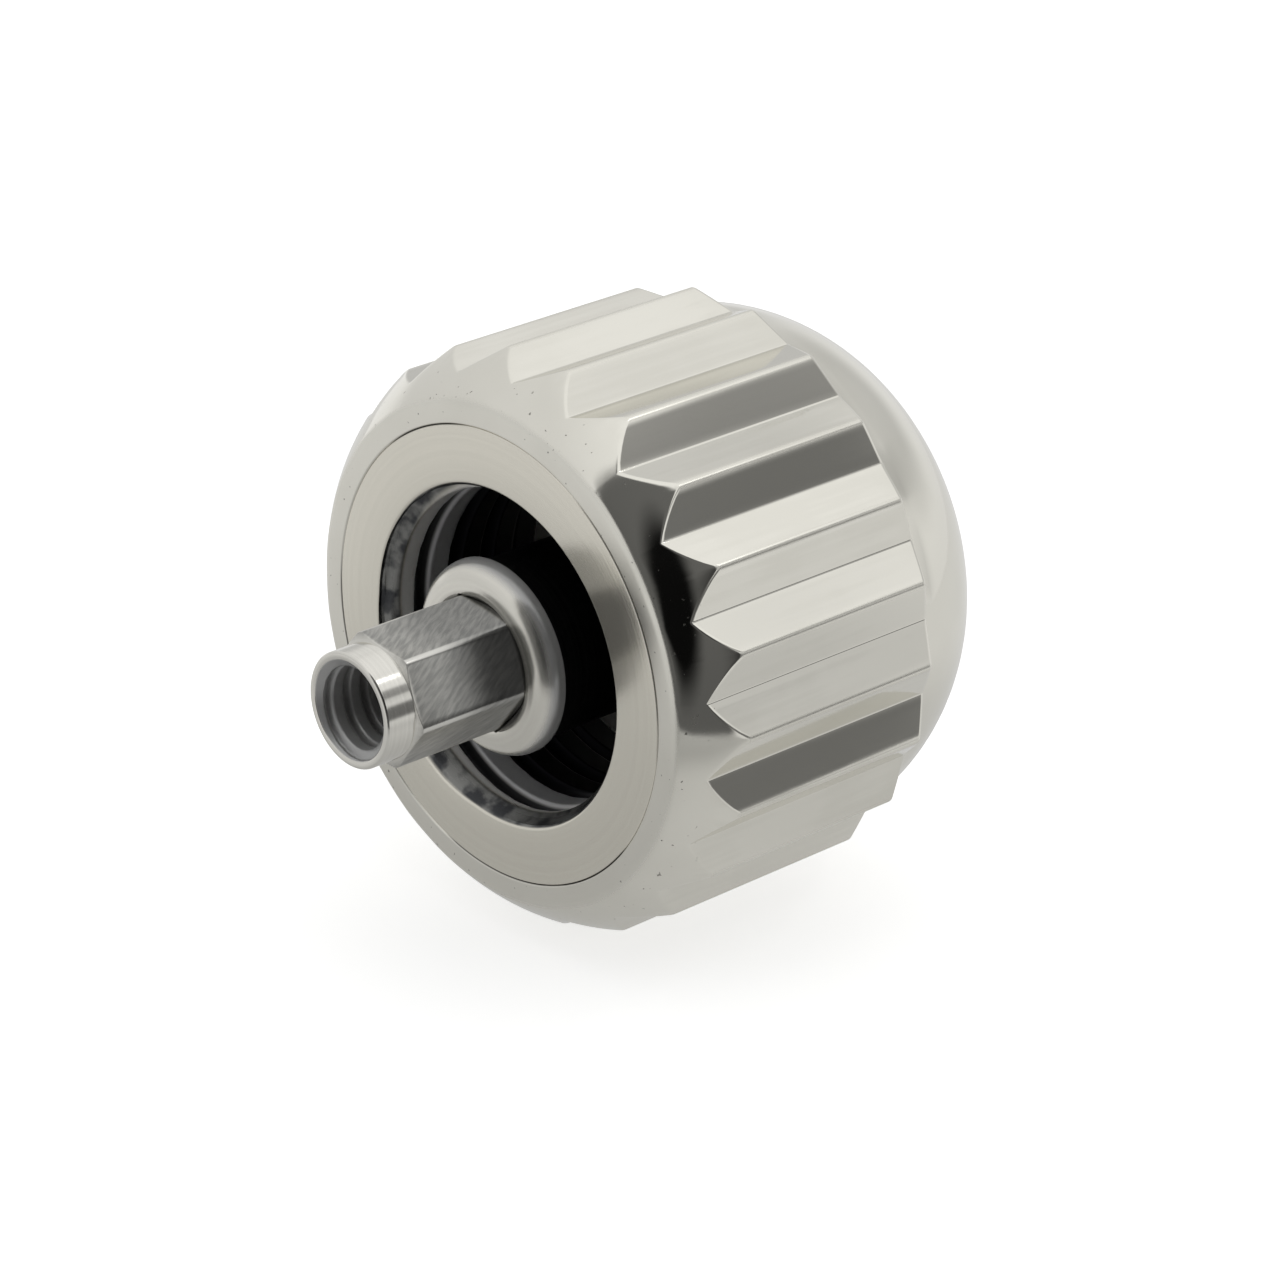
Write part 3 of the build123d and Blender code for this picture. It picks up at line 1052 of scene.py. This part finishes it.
def black_rubber():
    """Matt rubber with a fine grain."""
    material, graph, spot = begin("black_rubber")
    grain = clouds(graph, spot, 12.0)
    finish(graph, {
        "Base Color": graph.blend(grain, *RUBBER_TONES),
        "Roughness": 0.5 + 0.2 * grain,
        "Normal": relief(graph, grain, 6.0),
    })
    return material


inner_finishes = {
    "guide_tube": inner_steel("tube_steel", SHADED_TUBE_TONES, 0.4, 18.0),
    "gasket_washer": inner_steel("washer_steel", STAMPED_TONES, 0.35, 10.0),
    "main_gasket": black_rubber(),
}
for node, material in inner_finishes.items():
    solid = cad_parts[node]
    solid.data.materials.clear()
    solid.data.materials.append(material)
    print(node, "is finished in", material.name)
spring.data.materials.append(inner_steel("spring_steel", DRAWN_TONES, 0.3, 30.0, axis="Z"))

# %% [markdown]
# ## The floor
# The crown lies on two of its flute crests on a white surface. The floor is a pale disc, a
# little off white. Rays from the lens get some light added, so that it reads as white paper and
# only the shade where the crown touches shows. The steel sees it differently: for rays that come
# off the steel, most of the floor's tone is painted, darker near the crown and towards the lens
# and lighter on the lit side.

# %% The floor
FLOOR_RADIUS = 26 * MM
FLOOR_CENTRE = direction(radians(135), 0) * 16 * MM
PAPER = (0.74, 0.74, 0.73, 1)
LIFT = 0.64
PAINTED_SHARE = 0.65
LIT_AZIMUTH = radians(54)

bpy.ops.mesh.primitive_circle_add(
    vertices=96,
    radius=FLOOR_RADIUS,
    fill_type="NGON",
    location=(FLOOR_CENTRE.x, FLOOR_CENTRE.y, lowest),
)
floor = bpy.context.object
floor.name = "white_floor"
paper = bpy.data.materials.new("white_paper")
paper.use_nodes = True
graph = Graph(paper.node_tree)
matt = graph.add("ShaderNodeBsdfDiffuse", inputs={"Color": PAPER})
seen = graph.add("ShaderNodeLightPath", output="Is Camera Ray")
mirrored = graph.add("ShaderNodeLightPath", output="Is Glossy Ray")
lift = graph.add("ShaderNodeEmission", inputs={"Color": LIFT * seen, "Strength": 1.0})
lifted = graph.add("ShaderNodeAddShader", inputs={0: matt, 1: lift})
metres = graph.add("ShaderNodeNewGeometry", output="Position")
spot = graph.add("ShaderNodeVectorMath", {"operation": "SCALE"}, {0: metres, "Scale": 1 / MM})
away = graph.dot(spot, (1, 0, 0)) ** 2 + graph.dot(spot, (0, 1, 0)) ** 2
lit_side = graph.dot(spot, direction(LIT_AZIMUTH, 0))
distance = away ** 0.5
near_glow = graph.fade(lit_side, -3.0, 4.0) * graph.fade_out(distance, 4.0, 8.5)
lens_side = graph.fade(graph.dot(spot, direction(VIEW_AZIMUTH, 0)), 5.8, 8.5, 1.0, 0.55)
paleness = lens_side * (0.5 + 0.34 * graph.fade(distance, 4.0, 13.0) + 0.22 * near_glow)
even = graph.add("ShaderNodeEmission", inputs={"Color": paleness, "Strength": 1.0})
painted = PAINTED_SHARE * mirrored
surface = graph.add("ShaderNodeMixShader", inputs={0: painted, 1: lifted, 2: even})
graph.add("ShaderNodeOutputMaterial", inputs={"Surface": surface})
floor.data.materials.append(paper)
print("floor at", round(lowest / MM, 3), "mm")
